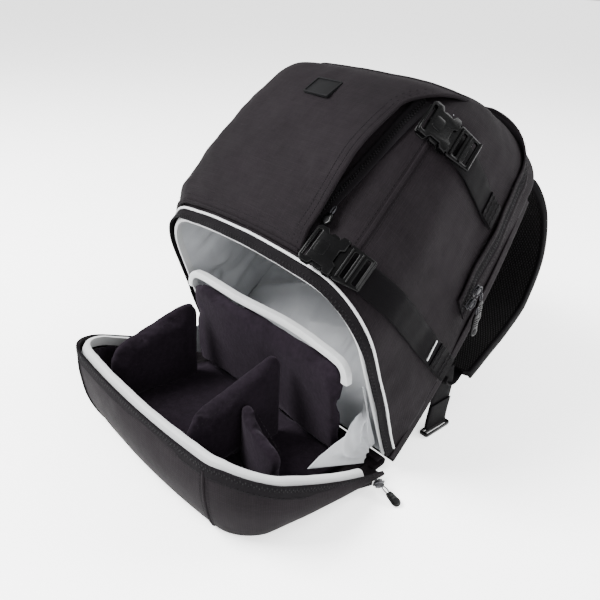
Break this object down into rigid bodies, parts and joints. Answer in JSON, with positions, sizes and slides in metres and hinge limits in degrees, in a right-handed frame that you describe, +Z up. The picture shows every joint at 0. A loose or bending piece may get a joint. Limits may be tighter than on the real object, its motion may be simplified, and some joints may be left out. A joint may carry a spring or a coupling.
{
  "type": "camera backpack",
  "caption": "Camera backpack with a flat-bottomed padded tray hinged under a lean-back pack, lift-out dividers, side-release buckles and padded shoulder straps.",
  "frame": {"origin": "centre of the base panel's underside, where the open bag rests on the floor", "axes": "+X to the wearer's left as seen from the front (right of the tray seen from its front), +Y towards the pack's back, +Z up"},
  "size_m": [0.4202, 0.5458, 0.4012],
  "materials": {
    "shell": "matte",
    "tape": "matte",
    "fleece": "matte",
    "binding": "matte",
    "lining": "matte",
    "mesh": "matte",
    "webbing": "matte",
    "buckle_plastic": "satin",
    "zip_metal": "satin",
    "patch": "matte"
  },
  "bodies": {
    "base": {"base_panel": "shell", "floor_pad": "fleece", "tray_front_wall": "shell", "tray_side_right": "shell", "tray_side_left": "shell", "front_pad": "fleece", "right_pad": "fleece", "left_pad": "fleece", "tray_zip_tape": "tape", "tray_binding": "binding", "rear_panel": "fleece", "rear_panel_binding": "binding", "gusset_right": "lining", "gusset_left": "lining"},
    "pack": {"pack_side_right": "shell", "pack_side_left": "shell", "pack_front": "shell", "pack_top": "shell", "back_panel": "mesh", "back_pad": "mesh", "lumbar_pad": "mesh", "pack_zip_tape": "tape", "pack_rim_piping": "binding", "front_cover": "shell", "patch": "patch", "opening_zip_tape": "tape", "opening_zip_slider_lower": "zip_metal", "strap_upper_right": "webbing", "strap_lower_right": "webbing", "strap_upper_left": "webbing", "strap_lower_left": "webbing", "buckle_socket_upper_right": "buckle_plastic", "buckle_socket_lower_right": "buckle_plastic", "buckle_socket_upper_left": "buckle_plastic", "buckle_socket_lower_left": "buckle_plastic", "shoulder_strap_right": "mesh", "shoulder_strap_left": "mesh", "strap_tail_right": "webbing", "strap_tail_left": "webbing", "strap_adjuster_right": "buckle_plastic", "strap_adjuster_left": "buckle_plastic"},
    "main_slider_right": {"main_zip_slider_right": "zip_metal"},
    "main_pull_right": {"main_zip_pull_right": "zip_metal"},
    "main_slider_left": {"main_zip_slider_left": "zip_metal"},
    "main_pull_left": {"main_zip_pull_left": "zip_metal"},
    "divider_left": {"divider_left": "fleece"},
    "divider_right": {"divider_right": "fleece"},
    "divider_right_cross": {"divider_right_cross": "fleece"},
    "divider_left_cross": {"divider_left_cross": "fleece"},
    "opening_slider": {"opening_zip_slider_upper": "zip_metal"},
    "opening_pull_upper": {"opening_zip_pull_upper": "zip_metal"},
    "opening_pull_lower": {"opening_zip_pull_lower": "zip_metal"},
    "pocket_pull": {"pocket_zip_pull": "zip_metal"},
    "buckle_upper_right": {"buckle_tongue_upper_right": "buckle_plastic"},
    "buckle_lower_right": {"buckle_tongue_lower_right": "buckle_plastic"},
    "buckle_upper_left": {"buckle_tongue_upper_left": "buckle_plastic"},
    "buckle_lower_left": {"buckle_tongue_lower_left": "buckle_plastic"},
    "handle": {"grab_handle": "webbing"}
  },
  "joints": [
    {"name": "pack_fold", "type": "hinge", "parent": "base", "child": "pack", "pos_m": [0, 0.102, 0.008], "axis": [1, 0, 0], "range_deg": [0, 44.5], "deforming": ["gusset_right", "gusset_left"]},
    {"name": "main_zip_slide_right", "type": "slide", "parent": "base", "child": "main_slider_right", "axis": [0.2141, -0.8921, 0.3979], "range_m": [0, 0.045]},
    {"name": "main_zip_pull_swing_right", "type": "hinge", "parent": "main_slider_right", "child": "main_pull_right", "pos_m": [0.18463, 0.07161, 0.01156], "axis": [0, -1, 0], "range_deg": [0, 60]},
    {"name": "main_zip_slide_left", "type": "slide", "parent": "base", "child": "main_slider_left", "axis": [-0.2141, -0.8921, 0.3979], "range_m": [0, 0.045]},
    {"name": "main_zip_pull_swing_left", "type": "hinge", "parent": "main_slider_left", "child": "main_pull_left", "pos_m": [-0.18463, 0.07161, 0.01156], "axis": [0, 1, 0], "range_deg": [0, 60]},
    {"name": "divider_left_lift", "type": "slide", "parent": "base", "child": "divider_left", "axis": [0, 0, 1], "range_m": [0, 0.085]},
    {"name": "divider_right_lift", "type": "slide", "parent": "base", "child": "divider_right", "axis": [0, 0, 1], "range_m": [0, 0.085]},
    {"name": "divider_right_cross_lift", "type": "slide", "parent": "base", "child": "divider_right_cross", "axis": [0, 0, 1], "range_m": [0, 0.085]},
    {"name": "divider_left_cross_lift", "type": "slide", "parent": "base", "child": "divider_left_cross", "axis": [0, 0, 1], "range_m": [0, 0.085]},
    {"name": "opening_zip_slide", "type": "slide", "parent": "pack", "child": "opening_slider", "axis": [-0.1406, 0.7062, 0.6939], "range_m": [0, 0.08]},
    {"name": "opening_zip_pull_swing_upper", "type": "hinge", "parent": "opening_slider", "child": "opening_pull_upper", "pos_m": [0.16761, 0.22517, 0.18512], "axis": [1, 0, 0], "range_deg": [0, 60]},
    {"name": "opening_zip_pull_swing_lower", "type": "hinge", "parent": "pack", "child": "opening_pull_lower", "pos_m": [0.17275, 0.21376, 0.17391], "axis": [1, 0, 0], "range_deg": [-45, 60]},
    {"name": "pocket_zip_pull_swing", "type": "hinge", "parent": "pack", "child": "pocket_pull", "pos_m": [0.08635, 0.07104, 0.29061], "axis": [-1, 0, 0], "range_deg": [0, 10]},
    {"name": "buckle_release_upper_right", "type": "slide", "parent": "pack", "child": "buckle_upper_right", "axis": [0.5819, 0.5701, -0.5801], "range_m": [0, 0.026]},
    {"name": "buckle_release_lower_right", "type": "slide", "parent": "pack", "child": "buckle_lower_right", "axis": [0.8861, 0.3249, -0.3306], "range_m": [0, 0.026]},
    {"name": "buckle_release_upper_left", "type": "slide", "parent": "pack", "child": "buckle_upper_left", "axis": [0, 0.7009, -0.7132], "range_m": [0, 0.026]},
    {"name": "buckle_release_lower_left", "type": "slide", "parent": "pack", "child": "buckle_lower_left", "axis": [0, 0.7009, -0.7132], "range_m": [0, 0.026]},
    {"name": "grab_handle_swing", "type": "hinge", "parent": "pack", "child": "handle", "pos_m": [0, 0.37031, 0.24573], "axis": [1, 0, 0], "range_deg": [-12, 95]}
  ]
}
